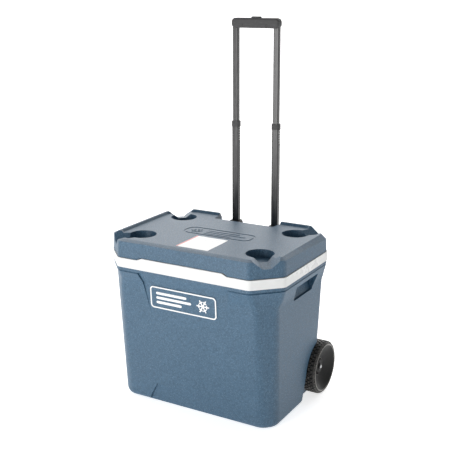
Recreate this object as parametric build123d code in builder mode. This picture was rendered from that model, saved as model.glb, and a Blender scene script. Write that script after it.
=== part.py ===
from build123d import *

import math
import os

# Wheeled 50 quart cooler with a hinged lid and a two stage pull handle.
# Millimetres. X runs along the length, the front faces -Y, +Z is up.
# The origin is on the ground, under the middle of the rim.

# ---------------------------------------------------------------- driving sizes
RIM_X = 540.0  # length over the white rim
RIM_Y = 399.0  # depth over the white rim
RIM_CUT = 68.0  # corner cut of rim and lid
RIM_SOFT = 22.0  # rounding where the corner cut meets the sides
RIM_LOW = 405.0  # underside of the rim band
RIM_TOP = 431.0  # top of the rim band
STEP_TALL = 6.5  # extra height of the rim under the lifting edge
STEP_HALF = 130.0
LID_TOP = 480.5
WALL = 3.0  # blow moulded skin

BODY_LOW = (489.0, 299.0)  # outside size of the tub shell at the ground
BODY_TOP = (503.0, 359.0)  # the same where the flare begins
FLARE_LOW = 342.0
FLARE_BEND = 366.0  # the front stays flat up to here, for the badge
FLARE_TOP = 392.0
LIP_LOW = 397.0  # underside of the lip that carries the rim
LIP = (537.0, 396.0)
LIP_GROOVE = 2.6  # depth of the groove under the lip
SPINE_HALF = 98.0  # half width of the flat back panel that carries the handle
SPINE_Y = 197.0
SPINE_SOFT = 14.0
FOOT_CUT = (29.3, 45.0)  # corner cut along X and Y at the ground
WAIST_CUT_FRONT = (44.0, 26.0)
WAIST_CUT_REAR = (36.0, 38.0)
BEND_SIZE = (519.0, 366.0)
BEND_CUT_FRONT = (56.0, 24.0)
BEND_CUT_REAR = (46.0, 30.0)
FOOT_ROUND = 18.0  # rounding all round the bottom

TUB_FLOOR = 38.0
TUB_LOW = (400.0, 232.0)  # outside of the white tub at its floor
TUB_TOP = (452.0, 316.0)
TUB_CORNER = (32.0, 46.0)

WHEEL_R = 76.5
WHEEL_Y = 142.5
WHEEL_IN = 226.0
WHEEL_OUT = 267.0
WELL_R = 84.0
WELL_WALL = 219.0
AXLE_R = 5.0

CUP_X = 183.0
CUP_Y = 105.0
CUP_R = 39.0
CUP_DEEP = 22.0
CUP_TAPER = 5.0  # degrees
SPOUT_FLOOR = 467.5  # height of a spout's floor at the cup's middle
SPOUT_RUN = (48.0, 54.0, -10.5)  # way a spout runs out to the corner
SPOUT_HALF_LOW = 11.0  # half width of a spout's floor
SPOUT_HALF_TOP = 40.0  # half width where its walls turn upright
SPOUT_WALL = 23.0
SPOUT_TALL = 41.0
SPOUT_LONG = 110.0
PLATEAU = 474.5
NOTCH_Y = 136.0
NOTCH_FLOOR = 443.0
NOTCH_BACK = 179.0

TUBE_X = 65.0
TUBE_Y = 212.0
FIXED_TUBE = (24.4, 19.8)
MIDDLE_TUBE = (21.0, 16.4)
UPPER_TUBE = (17.6, 13.0)
TUBE_WALL = 1.4
FIXED_SPAN = (60.0, 452.0)
MIDDLE_SPAN = (385.0, 753.0)
UPPER_SPAN = (690.0, 1034.0)
GRIP_LOW = 1021.0
GRIP_TOP = 1049.0
GRIP_HALF = 75.5
GRIP_DEEP = 25.0
BUTTON_TRAVEL = 4.0

HINGE_Y = 206.0
HINGE_Z = 433.0
HINGE_X = 165.0
KNUCKLE_R = 5.5
HINGE_PIN_R = 2.5

DRAIN_Y = -55.0
DRAIN_Z = 60.0
DRAIN_PAD = 244.0  # flat seat moulded in the left side

os.makedirs("parts", exist_ok=True)
SIDES = {"left": -1, "right": 1}


# ---------------------------------------------------------------- helpers
def save(builder, label):
    """Label a finished piece and write its file."""
    builder.part.label = label
    export_step(builder.part, f"parts/{label}.step")


def round_face(height, size_x, size_y, corner):
    """Rounded rectangle lying at a height."""
    with BuildSketch(Plane.XY.offset(height)) as plan:
        RectangleRounded(size_x, size_y, corner)
    return plan.sketch


def cut_face(height, size_x, size_y, cut, soft):
    """Rectangle with its corners cut off and the cuts softened."""
    with BuildSketch(Plane.XY.offset(height)) as plan:
        Rectangle(size_x, size_y)
        chamfer(plan.vertices(), cut)
        fillet(plan.vertices(), soft)
    return plan.sketch


def body_face(height, size, front, rear, inset):
    """Cross section of the tub shell: each corner is a cut with its rounding, front and rear apart."""
    half_x = size[0] / 2 - inset
    half_y = size[1] / 2 - inset
    less = inset * (2 - math.sqrt(2))
    front_cut = front[0] - less
    rear_cut = rear[0] - less
    points = [(-half_x + front_cut, -half_y), (half_x - front_cut, -half_y), (half_x, -half_y + front_cut),
              (half_x, half_y - rear_cut), (half_x - rear_cut, half_y), (-half_x + rear_cut, half_y),
              (-half_x, half_y - rear_cut), (-half_x, -half_y + front_cut)]
    with BuildSketch(Plane.XY.offset(height)) as plan:
        with BuildLine():
            Polyline(*points, close=True)
        make_face()
        fillet([v for v in plan.vertices() if v.Y < 0], front[1] - inset)
        fillet([v for v in plan.vertices() if v.Y > half_y - rear_cut - 1], rear[1] - inset)
    return plan.sketch


def outline_face(plane, points, soft=0.0):
    """Straight sided outline on a plane, its corners rounded when asked."""
    with BuildSketch(plane) as plan:
        with BuildLine():
            Polyline(*points, close=True)
        make_face()
        if soft:
            fillet(plan.vertices(), soft)
    return plan.sketch


def tube_face(height, x, size, corner):
    """Cross section of a handle tube."""
    with BuildSketch(Plane.XY.offset(height)) as plan:
        with Locations((x, TUBE_Y)):
            RectangleRounded(size[0], size[1], corner)
    return plan.sketch


def shrink(size, by):
    """Size of a rectangle whose walls move in by an amount."""
    return (size[0] - 2 * by, size[1] - 2 * by)


def front_y(height):
    """Depth of the front wall of the shell at a height."""
    share = height / FLARE_LOW
    return -(BODY_LOW[1] + share * (BODY_TOP[1] - BODY_LOW[1])) / 2


def side_x(height):
    """Half length of the shell at a height."""
    share = height / FLARE_LOW
    return (BODY_LOW[0] + share * (BODY_TOP[0] - BODY_LOW[0])) / 2


FRONT_LEAN = (front_y(0) - front_y(FLARE_LOW)) / FLARE_LOW


def front_plane(height, proud=0.0, tilt=0.0):
    """Plane on the leaning front wall, its normal pointing out of the cooler."""
    normal = Vector(0, -1, -FRONT_LEAN - tilt).normalized()
    origin = Vector(0, front_y(height), height) + normal * proud
    return Plane(origin=origin, x_dir=(1, 0, 0), z_dir=normal)


# ---------------------------------------------------------------- shapes cut out of the shell
PANEL_LOW = 276.0  # where the badge field fades out
PANEL_TILT = -0.032  # it sinks this much per millimetre of height above that
PANEL_STEP = 3.6  # how far it lies behind the lip at its top


def wheel_well(side, grow=0.0):
    """Space round one rear wheel, open outward, down and backward."""
    wall = WELL_WALL - grow
    radius = WELL_R + grow
    plane = Plane(origin=(side * wall, 0, 0), x_dir=(0, 1, 0), z_dir=(1, 0, 0))
    front_foot = (WHEEL_Y - radius - 28, -10)
    front_mid = (WHEEL_Y - radius, WHEEL_R + 10)
    with BuildPart() as well:
        with BuildSketch(plane):
            with Locations((WHEEL_Y, WHEEL_R)):
                Circle(radius)
            with BuildLine():
                Polyline(front_foot, front_mid, (WHEEL_Y, WHEEL_R + radius), (260, WHEEL_R + radius),
                         (260, -10), close=True)
            make_face()
        extrude(amount=side * 60)
    return well.part


def carry_pocket(side, grow=0.0):
    """Hand hold under the rim: deep at its top, sloping out to its lower edge."""
    plane = Plane.XZ.offset(-15)
    low = 336.0 - grow
    high = 379.0 + grow
    deep = side_x(high) - 22.0 - grow
    shallow = side_x(low) - 7.0 - grow
    with BuildPart() as pocket:
        with BuildSketch(plane):
            with BuildLine():
                Polyline((side * shallow, low), (side * deep, high - 12), (side * deep, high),
                         (side * 280, high), (side * 280, low), close=True)
            make_face()
        extrude(amount=66 + grow, both=True)
        side_plane = Plane(origin=(side * 200, 15, 0), x_dir=(0, 1, 0), z_dir=(1, 0, 0))
        with BuildSketch(side_plane):
            with BuildLine():
                Polyline((-55 - grow, low), (55 + grow, low), (68 + grow, high), (-68 - grow, high), close=True)
            make_face()
        extrude(amount=side * 90, mode=Mode.INTERSECT)
    return pocket.part


def front_panel(grow=0.0):
    """Shallow badge field on the front: it sinks in up to the badge's top, then follows the flare."""
    bend_y = front_y(FLARE_BEND) - PANEL_TILT * (FLARE_BEND - PANEL_LOW) + grow
    lip_y = -LIP[1] / 2 + PANEL_STEP + grow
    with BuildPart() as panel:
        with BuildSketch(Plane.YZ.offset(-170)):
            with BuildLine():
                Polyline((-230, PANEL_LOW - grow), (front_y(PANEL_LOW) + grow, PANEL_LOW - grow),
                         (bend_y, FLARE_BEND), (lip_y, LIP_LOW), (-230, LIP_LOW), close=True)
            make_face()
        extrude(amount=340)
        with BuildSketch(Plane.XZ):
            with BuildLine():
                Polyline((-112 - grow, PANEL_LOW - grow), (112 + grow, PANEL_LOW - grow),
                         (140 + grow, LIP_LOW), (-140 - grow, LIP_LOW), close=True)
            make_face()
        extrude(amount=230, mode=Mode.INTERSECT)
    return panel.part


def toe_panel(grow=0.0):
    """Set back toe between the two front feet."""
    high = 60.0
    field = outline_face(front_plane(high, proud=-2.5, tilt=0.11),
                         [(-150 - grow, -75), (150 + grow, -75), (138 + grow, -42), (113 + grow, 0),
                          (-113 - grow, 0), (-138 - grow, -42)])
    with BuildPart() as panel:
        extrude(field, amount=40)
        if grow:
            extrude(field, amount=-grow)
    return panel.part


def drain_pad(grow=0.0):
    """Flat round seat for the drain on the left side."""
    plane = Plane(origin=(-DRAIN_PAD + grow, DRAIN_Y, DRAIN_Z), x_dir=(0, 1, 0), z_dir=(-1, 0, 0))
    with BuildPart() as pad:
        with BuildSketch(plane):
            Circle(24 + grow)
        extrude(amount=20)
    return pad.part


def drain_bore(radius):
    """Straight hole through the left wall."""
    plane = Plane(origin=(-190, DRAIN_Y, DRAIN_Z), x_dir=(0, 1, 0), z_dir=(-1, 0, 0))
    with BuildPart() as bore:
        with BuildSketch(plane):
            Circle(radius)
        extrude(amount=70)
    return bore.part


def side_hole(x, y, z, radius, length):
    """Hole along X that starts at a point."""
    plane = Plane(origin=(x, y, z), x_dir=(0, 1, 0), z_dir=(1, 0, 0))
    with BuildPart() as hole:
        with BuildSketch(plane):
            Circle(radius)
        extrude(amount=length)
    return hole.part


def back_hole(x, z, radius, start, length):
    """Hole along +Y that starts at a depth."""
    plane = Plane(origin=(x, start, z), x_dir=(1, 0, 0), z_dir=(0, 1, 0))
    with BuildPart() as hole:
        with BuildSketch(plane):
            Circle(radius)
        extrude(amount=length)
    return hole.part


# Fastener places, shared by the holes and by the screws that fill them.
PLATE_SCREWS = [(dy, dz) for dy in (-22, 22) for dz in (-22, 22)]
HINGE_SCREWS = [HINGE_X - 20, HINGE_X + 20]
BODY_HINGE_Z = 415.0
LID_HINGE_Z = 450.0
BRACKET_SCREWS_UP = [(-32, 418), (32, 418)]
BRACKET_SCREWS_LOW = [(-32, 68), (32, 68)]
SCREW_R = 1.9
SCREW_HEAD_R = 4.0


# ---------------------------------------------------------------- tub shell
def shell_block(inset):
    """Outer form of the tub shell, with its walls moved in by an amount."""
    lip = (RIM_CUT - 1, RIM_SOFT)
    foot = body_face(inset, BODY_LOW, FOOT_CUT, FOOT_CUT, inset)
    waist = body_face(FLARE_LOW, BODY_TOP, WAIST_CUT_FRONT, WAIST_CUT_REAR, inset)
    bend = body_face(FLARE_BEND, BEND_SIZE, BEND_CUT_FRONT, BEND_CUT_REAR, inset)
    flare = body_face(FLARE_TOP, shrink(LIP, 0.8), lip, lip, inset)
    groove_low = body_face(FLARE_TOP + 2.5, shrink(LIP, LIP_GROOVE), lip, lip, inset)
    groove_top = body_face(LIP_LOW, shrink(LIP, LIP_GROOVE), lip, lip, inset)
    with BuildPart() as block:
        loft([foot, waist], ruled=True)
        fillet(block.faces().sort_by(Axis.Z)[0].edges(), FOOT_ROUND - inset)
        for low, high in ((waist, bend), (bend, flare), (flare, groove_low), (groove_low, groove_top)):
            loft([low, high], ruled=True)
        extrude(body_face(LIP_LOW, LIP, lip, lip, inset), amount=RIM_LOW - LIP_LOW)
        with BuildSketch(Plane.XY.offset(inset)):
            with Locations((0, (SPINE_Y - inset) / 2 + 40)):
                RectangleRounded(2 * (SPINE_HALF - inset), SPINE_Y - inset - 80, SPINE_SOFT - inset)
        extrude(amount=FLARE_TOP - inset)
    return block.part


with BuildPart() as shell_form:
    add(shell_block(0))
    for side in SIDES.values():
        add(wheel_well(side), mode=Mode.SUBTRACT)
        add(carry_pocket(side), mode=Mode.SUBTRACT)
    add(front_panel(), mode=Mode.SUBTRACT)
    add(toe_panel(), mode=Mode.SUBTRACT)
    add(drain_pad(), mode=Mode.SUBTRACT)

with BuildPart() as shell_space:
    add(shell_block(WALL))
    for side in SIDES.values():
        add(wheel_well(side, WALL), mode=Mode.SUBTRACT)
        add(carry_pocket(side, WALL), mode=Mode.SUBTRACT)
    add(front_panel(WALL), mode=Mode.SUBTRACT)
    add(toe_panel(WALL), mode=Mode.SUBTRACT)
    add(drain_pad(WALL), mode=Mode.SUBTRACT)


def tub_block(inset, low, top):
    """Tapered tub between two heights, with its walls moved in by an amount."""
    def section(height):
        share = (height - TUB_FLOOR) / (RIM_LOW - TUB_FLOOR)
        size_x = TUB_LOW[0] + share * (TUB_TOP[0] - TUB_LOW[0]) - 2 * inset
        size_y = TUB_LOW[1] + share * (TUB_TOP[1] - TUB_LOW[1]) - 2 * inset
        corner = TUB_CORNER[0] + share * (TUB_CORNER[1] - TUB_CORNER[0]) - inset
        return round_face(height, size_x, size_y, corner)
    with BuildPart() as block:
        loft([section(low), section(top)], ruled=True)
    return block.part


tub_outside = tub_block(0, TUB_FLOOR, RIM_TOP)

with BuildPart() as rim_space:
    extrude(cut_face(RIM_LOW, RIM_X - 2 * WALL, RIM_Y - 2 * WALL, RIM_CUT - 2, RIM_SOFT - 2),
            amount=RIM_TOP - WALL - RIM_LOW)
    add(tub_outside, mode=Mode.SUBTRACT)

with BuildPart() as inner_liner:
    extrude(cut_face(RIM_LOW, RIM_X, RIM_Y, RIM_CUT, RIM_SOFT), amount=RIM_TOP - RIM_LOW)
    add(rim_space.part, mode=Mode.SUBTRACT)
    add(tub_outside)
    add(tub_block(WALL, TUB_FLOOR + WALL, RIM_TOP + 1), mode=Mode.SUBTRACT)
    extrude(outline_face(Plane.XZ.offset(RIM_Y / 2 - 9),
                         [(-STEP_HALF - 8, RIM_TOP), (STEP_HALF + 8, RIM_TOP),
                          (STEP_HALF - 6, RIM_TOP + STEP_TALL), (-STEP_HALF + 6, RIM_TOP + STEP_TALL)]),
            amount=9)
    add(drain_bore(11), mode=Mode.SUBTRACT)
    for side in SIDES.values():
        for x in HINGE_SCREWS:
            add(back_hole(side * x, BODY_HINGE_Z, SCREW_R, 190, 20), mode=Mode.SUBTRACT)
    for x, z in BRACKET_SCREWS_UP:
        add(back_hole(x, z, SCREW_R, 188, 20), mode=Mode.SUBTRACT)

with BuildPart() as foam_core:
    add(shell_space.part)
    add(rim_space.part)
    add(tub_outside, mode=Mode.SUBTRACT)
    add(drain_bore(11), mode=Mode.SUBTRACT)
    for side in SIDES.values():
        add(side_hole(side * WELL_WALL, WHEEL_Y, WHEEL_R, AXLE_R + 1, -side * 10), mode=Mode.SUBTRACT)
        for dy, dz in PLATE_SCREWS:
            add(side_hole(side * WELL_WALL, WHEEL_Y + dy, WHEEL_R + dz, SCREW_R, -side * 9), mode=Mode.SUBTRACT)
        for x in HINGE_SCREWS:
            add(back_hole(side * x, BODY_HINGE_Z, SCREW_R, 188, 20), mode=Mode.SUBTRACT)
    for x, z in BRACKET_SCREWS_UP + BRACKET_SCREWS_LOW:
        add(back_hole(x, z, SCREW_R, 184, 20), mode=Mode.SUBTRACT)

with BuildPart() as outer_shell:
    add(shell_form.part)
    add(shell_space.part, mode=Mode.SUBTRACT)
    add(drain_bore(11), mode=Mode.SUBTRACT)
    for side in SIDES.values():
        add(side_hole(side * (WELL_WALL - 8), WHEEL_Y, WHEEL_R, AXLE_R, side * 20), mode=Mode.SUBTRACT)
        for dy, dz in PLATE_SCREWS:
            add(side_hole(side * (WELL_WALL - 8), WHEEL_Y + dy, WHEEL_R + dz, SCREW_R, side * 20),
                mode=Mode.SUBTRACT)
    for x, z in BRACKET_SCREWS_LOW:
        add(back_hole(x, z, SCREW_R, 186, 20), mode=Mode.SUBTRACT)

save(outer_shell, "outer_shell")
save(foam_core, "foam_core")
save(inner_liner, "inner_liner")


# ---------------------------------------------------------------- front badge
BADGE = (208.0, 64.0)
BADGE_X = -8.0
BADGE_Z = 329.0
badge_field = front_plane(PANEL_LOW, tilt=PANEL_TILT)
badge_origin = badge_field.from_local_coords((BADGE_X, BADGE_Z - PANEL_LOW, 0.05))
badge_plane = badge_field.offset(0.05).shift_origin(badge_origin)


def snow_star(plane, x, radius, height):
    """Six armed frost star standing on a plane."""
    with BuildPart() as star:
        with BuildSketch(plane):
            with Locations((x, 0)):
                with PolarLocations(0, 3):
                    Rectangle(2 * radius, 3.4)
                with PolarLocations(radius * 0.62, 6):
                    Rectangle(3.2, 11)
        extrude(amount=height)
    return star.part


with BuildPart() as badge_plate:
    with BuildSketch(badge_plane):
        RectangleRounded(*BADGE, 11)
    extrude(amount=1.2)
save(badge_plate, "badge_plate")

with BuildPart() as badge_marks:
    with BuildSketch(badge_plane.offset(1.2)):
        RectangleRounded(BADGE[0] - 2, BADGE[1] - 2, 10)
        RectangleRounded(BADGE[0] - 9, BADGE[1] - 9, 7, mode=Mode.SUBTRACT)
    extrude(amount=0.8)
    add(snow_star(badge_plane.offset(1.2), 62, 19, 0.8))
    with BuildSketch(badge_plane.offset(1.2)):
        for row, width in ((13, 96), (0, 110), (-13, 80)):
            with Locations((-84 + width / 2, row)):
                SlotOverall(width, 7)
    extrude(amount=0.8)
save(badge_marks, "badge_marks")


# ---------------------------------------------------------------- lid
SHOULDER_Z = 470.0  # height of the shoulder's lower edge half way back
SHOULDER_RISE = 7.0  # it stands this much higher at the front and lower at the back


LID_WALL = (536.0, 395.0)  # outside of the lid at its lower edge
LID_SHOULDER = (534.0, 392.6)
LID_CROWN = (508.0, 364.0)
LID_CROWN_CUT = 60.0
INNER_SHOULDER_Z = 463.5
INNER_SHOULDER_RISE = 4.5
INNER_CROWN = (517.0, 373.0)
INNER_CROWN_CUT = 64.0


def lid_block(inset, low):
    """Outer form of the lid, with its walls moved in by an amount."""
    middle = SHOULDER_Z
    rise = SHOULDER_RISE
    top = cut_face(LID_TOP, LID_CROWN[0], LID_CROWN[1], LID_CROWN_CUT, RIM_SOFT)
    if inset:
        middle = INNER_SHOULDER_Z
        rise = INNER_SHOULDER_RISE
        top = cut_face(PLATEAU - inset, INNER_CROWN[0] - 2 * inset, INNER_CROWN[1] - 2 * inset,
                       INNER_CROWN_CUT - inset / 2, RIM_SOFT)
    tilted = Plane(origin=(0, 0, middle), x_dir=(1, 0, 0), z_dir=Vector(0, rise, RIM_Y / 2).normalized())
    with BuildSketch(tilted) as shoulder:
        Rectangle(LID_SHOULDER[0] - 2 * inset, LID_SHOULDER[1] - 2 * inset)
        chamfer(shoulder.vertices(), RIM_CUT - inset / 2)
        fillet(shoulder.vertices(), RIM_SOFT)
    wall = cut_face(low, LID_WALL[0] - 2 * inset, LID_WALL[1] - 2 * inset, RIM_CUT - inset / 2, RIM_SOFT)
    with BuildPart() as block:
        loft([wall, shoulder.sketch], ruled=True)
        loft([shoulder.sketch, top], ruled=True)
    return block.part


def cup_and_spout(side_x_sign, side_y_sign, grow=0.0):
    """Cup holder with the spout that drains it over the lid's corner."""
    centre = (side_x_sign * CUP_X, side_y_sign * CUP_Y)
    low = PLATEAU - CUP_DEEP - grow
    along = Vector(side_x_sign * SPOUT_RUN[0], side_y_sign * SPOUT_RUN[1], SPOUT_RUN[2]).normalized()
    across = Vector(-along.Y, along.X, 0).normalized()
    with BuildPart() as cup:
        with BuildSketch(Plane.XY.offset(low)):
            with Locations(centre):
                Circle(CUP_R - 3 + grow)
        extrude(amount=2 * CUP_DEEP, taper=-CUP_TAPER)
        plane = Plane(origin=(centre[0], centre[1], SPOUT_FLOOR), x_dir=across, z_dir=along)
        rise = 1 if plane.y_dir.Z > 0 else -1
        half_low = SPOUT_HALF_LOW + grow
        half_top = SPOUT_HALF_TOP + grow
        spout = outline_face(plane, [(-half_low, rise * -grow), (half_low, rise * -grow),
                                     (half_top, rise * SPOUT_WALL), (half_top, rise * SPOUT_TALL),
                                     (-half_top, rise * SPOUT_TALL), (-half_top, rise * SPOUT_WALL)])
        extrude(spout, amount=SPOUT_LONG)
    return cup.part


def lid_notch(grow=0.0):
    """Hand room in the back of the lid, in front of the stowed grip."""
    front = NOTCH_Y - grow
    with BuildPart() as notch:
        extrude(outline_face(Plane.XY.offset(NOTCH_FLOOR - grow),
                             [(-96 - grow, front), (96 + grow, front), (108 + grow, 210), (-108 - grow, 210)]),
                amount=60)
        extrude(outline_face(Plane.XY.offset(420),
                             [(-100 - grow, NOTCH_BACK - grow), (100 + grow, NOTCH_BACK - grow),
                              (106 + grow, 210), (-106 - grow, 210)]),
                amount=60)
    return notch.part


def finger_step(grow=0.0):
    """Cut in the lid's front skirt over the raised part of the rim."""
    with BuildPart() as step:
        extrude(outline_face(Plane.XZ.offset(RIM_Y / 2 - 10.5 - grow),
                             [(-STEP_HALF - 20 - grow, 425), (STEP_HALF + 20 + grow, 425),
                              (STEP_HALF - 1 + grow, RIM_TOP + STEP_TALL + 1 + grow),
                              (-STEP_HALF + 1 - grow, RIM_TOP + STEP_TALL + 1 + grow)]),
                amount=20)
    return step.part


def hinge_flat(side, grow=0.0):
    """Flat seat for a hinge leaf on the back of the lid."""
    with BuildPart() as flat:
        with BuildSketch(Plane.XY.offset(425)):
            with Locations((side * HINGE_X, 206 - grow)):
                Rectangle(62 + 2 * grow, 20)
        extrude(amount=37)
    return flat.part


def lid_cuts(grow=0.0):
    """Everything that is sunk into the lid, grown by the skin's thickness when asked."""
    with BuildPart() as cuts:
        for side_x_sign in (-1, 1):
            for side_y_sign in (-1, 1):
                add(cup_and_spout(side_x_sign, side_y_sign, grow))
            add(hinge_flat(side_x_sign, grow))
        add(lid_notch(grow))
        add(finger_step(grow))
    return cuts.part


LID_LOW = RIM_TOP + 1.0
MARK_PANEL = (214.0, 62.0)
LID_SKIN = 3.0
LINER_UP = LID_LOW + LID_SKIN

with BuildPart() as lid_space:
    add(lid_block(LID_SKIN, LID_LOW))
    add(lid_cuts(LID_SKIN), mode=Mode.SUBTRACT)

with BuildPart() as lid_shell:
    add(lid_block(0, LID_LOW))
    loft([cut_face(PLATEAU, 486, 342, 56, 18), cut_face(LID_TOP + 0.01, 496, 352, 58, 18)], ruled=True,
         mode=Mode.SUBTRACT)
    add(lid_cuts(), mode=Mode.SUBTRACT)
    with BuildSketch(Plane.XY.offset(PLATEAU - 1.2)):
        RectangleRounded(*MARK_PANEL, 24)
        RectangleRounded(MARK_PANEL[0] - 10, MARK_PANEL[1] - 10, 19, mode=Mode.SUBTRACT)
    extrude(amount=2, mode=Mode.SUBTRACT)
    add(lid_space.part, mode=Mode.SUBTRACT)
    for side in SIDES.values():
        for x in HINGE_SCREWS:
            add(back_hole(side * x, LID_HINGE_Z, SCREW_R, 188, 20), mode=Mode.SUBTRACT)
    mark_plane = Plane.XY.offset(PLATEAU - 0.5)
    add(snow_star(mark_plane, -72, 18, 1.4))
    with BuildSketch(mark_plane):
        for row, width in ((14, 100), (0, 124), (-14, 84)):
            with Locations((-42 + width / 2, row)):
                SlotOverall(width, 7)
    extrude(amount=1.4)
save(lid_shell, "lid_shell")

with BuildPart() as lid_pan_outside:
    extrude(cut_face(LID_LOW, 536 - 2 * LID_SKIN - 0.6, 395 - 2 * LID_SKIN - 0.6, 67.2, 22), amount=LID_SKIN)
    add(lid_notch(LID_SKIN), mode=Mode.SUBTRACT)
    add(finger_step(LID_SKIN), mode=Mode.SUBTRACT)
    for side in SIDES.values():
        add(hinge_flat(side, LID_SKIN + 0.3), mode=Mode.SUBTRACT)
    loft([round_face(LID_LOW - 18, 430, 294, 38), round_face(LID_LOW, 438, 302, 40)], ruled=True)

with BuildPart() as lid_liner:
    add(lid_pan_outside.part)
    loft([round_face(LID_LOW - 15, 424, 288, 35), round_face(LINER_UP, 433, 297, 37)], ruled=True,
         mode=Mode.SUBTRACT)
save(lid_liner, "lid_liner")

with BuildPart() as lid_foam:
    add(lid_space.part)
    with BuildSketch(Plane.XY.offset(LID_LOW - 1)):
        Rectangle(600, 500)
    extrude(amount=LID_SKIN + 1, mode=Mode.SUBTRACT)
    loft([round_face(LID_LOW - 15, 424, 288, 35), round_face(LINER_UP, 433, 297, 37)], ruled=True)
    for side in SIDES.values():
        for x in HINGE_SCREWS:
            add(back_hole(side * x, LID_HINGE_Z, SCREW_R, 184, 20), mode=Mode.SUBTRACT)
save(lid_foam, "lid_foam")

with BuildPart() as lid_label:
    with BuildSketch(Plane.XY.offset(PLATEAU)):
        with Locations((6, -100)):
            RectangleRounded(98, 108, 2)
    extrude(amount=0.3)
save(lid_label, "lid_label")


# ---------------------------------------------------------------- screws
def screw(plane, shank):
    """Pan head screw with a cross recess: the plane lies under the head, normal out of the head."""
    with BuildPart() as fastener:
        with BuildSketch(plane):
            Circle(SCREW_HEAD_R)
        extrude(amount=2.2)
        fillet(fastener.faces().sort_by(SortBy.AREA)[-1].edges(), 0.4)
        with BuildSketch(plane):
            Circle(SCREW_R)
        extrude(amount=-shank)
        with BuildSketch(plane.offset(1.0)):
            Rectangle(4.4, 0.9)
            Rectangle(0.9, 4.4)
        extrude(amount=3, mode=Mode.SUBTRACT)
    return fastener.part


def screw_group(label, planes, shank):
    """Identical screws kept in one piece list entry."""
    with BuildPart() as group:
        for plane in planes:
            add(screw(plane, shank))
    save(group, label)


# ---------------------------------------------------------------- hinges
def knuckle(side, start, end, bore):
    """Hinge barrel between two distances along the hinge, with its bore."""
    plane = Plane(origin=(side * (HINGE_X + start), HINGE_Y, HINGE_Z), x_dir=(0, 1, 0), z_dir=(side, 0, 0))
    with BuildPart() as barrel:
        with BuildSketch(plane):
            Circle(KNUCKLE_R)
            if bore:
                Circle(bore, mode=Mode.SUBTRACT)
        extrude(amount=end - start)
    return barrel.part


def hinge_bore(side, bore):
    """Hole right through a hinge."""
    plane = Plane(origin=(side * (HINGE_X - 40), HINGE_Y, HINGE_Z), x_dir=(0, 1, 0), z_dir=(side, 0, 0))
    with BuildPart() as hole:
        with BuildSketch(plane):
            Circle(bore)
        extrude(amount=80)
    return hole.part


def block(low, high):
    """Plain block between two opposite corners."""
    size = [b - a for a, b in zip(low, high)]
    centre = [(a + b) / 2 for a, b in zip(low, high)]
    with BuildPart() as brick:
        with Locations(tuple(centre)):
            Box(*size)
    return brick.part


for name, side in SIDES.items():
    centre = side * HINGE_X
    with BuildPart() as body_hinge:
        add(block((centre - 30, RIM_Y / 2, 405.5), (centre + 30, RIM_Y / 2 + 2.6, 427)))
        for start, end in ((-30, -15), (15, 30)):
            add(block((centre + start, RIM_Y / 2, 422), (centre + end, HINGE_Y, HINGE_Z - 1)))
            add(block((centre + start, HINGE_Y - 1, HINGE_Z - KNUCKLE_R),
                      (centre + end, HINGE_Y, HINGE_Z - 1)))
            low = min(side * start, side * end)
            add(knuckle(side, low, low + 15, 0))
        add(block((centre - 30, RIM_Y / 2, 427), (centre + 30, RIM_Y / 2 + 1.2, 430.5)))
        add(hinge_bore(side, HINGE_PIN_R), mode=Mode.SUBTRACT)
        for x in HINGE_SCREWS:
            add(back_hole(side * x, BODY_HINGE_Z, SCREW_R, 195, 20), mode=Mode.SUBTRACT)
    save(body_hinge, f"body_hinge_{name}")
    with BuildPart() as lid_hinge:
        add(block((centre - 27, 196.2, 437.5), (centre + 27, 199.0, 459)))
        add(block((centre - 14.5, 196.2, 434.5), (centre + 14.5, HINGE_Y, 438.4)))
        add(knuckle(side, -14.5, 14.5, 0))
        add(hinge_bore(side, HINGE_PIN_R + 0.06), mode=Mode.SUBTRACT)
        for x in HINGE_SCREWS:
            add(back_hole(side * x, LID_HINGE_Z, SCREW_R, 190, 20), mode=Mode.SUBTRACT)
    save(lid_hinge, f"lid_hinge_{name}")
    with BuildPart() as hinge_pin:
        pin_plane = Plane(origin=(centre - 31, HINGE_Y, HINGE_Z), x_dir=(0, 1, 0), z_dir=(1, 0, 0))
        with BuildSketch(pin_plane):
            Circle(HINGE_PIN_R)
        extrude(amount=62)
        chamfer(hinge_pin.faces().filter_by(Axis.X).edges(), 0.6)
    save(hinge_pin, f"hinge_pin_{name}")


def back_plane(x, y, z):
    """Plane on the back of the cooler, its normal pointing backward."""
    return Plane(origin=(x, y, z), x_dir=(-1, 0, 0), z_dir=(0, 1, 0))


hinge_places = [side * x for side in SIDES.values() for x in HINGE_SCREWS]
screw_group("body_hinge_screws", [back_plane(x, RIM_Y / 2 + 2.6, BODY_HINGE_Z) for x in hinge_places], 8)
screw_group("lid_hinge_screws", [back_plane(x, 199.0, LID_HINGE_Z) for x in hinge_places], 8)


# ---------------------------------------------------------------- handle brackets and fixed tubes
def bracket_block(low, high, half):
    """Solid form of a handle bracket with rounded uprights."""
    with BuildPart() as form:
        with BuildSketch(Plane.XY.offset(low)):
            with Locations((0, (SPINE_Y + 226) / 2)):
                RectangleRounded(2 * half, 226 - SPINE_Y, 6)
        extrude(amount=high - low)
    return form.part


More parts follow.
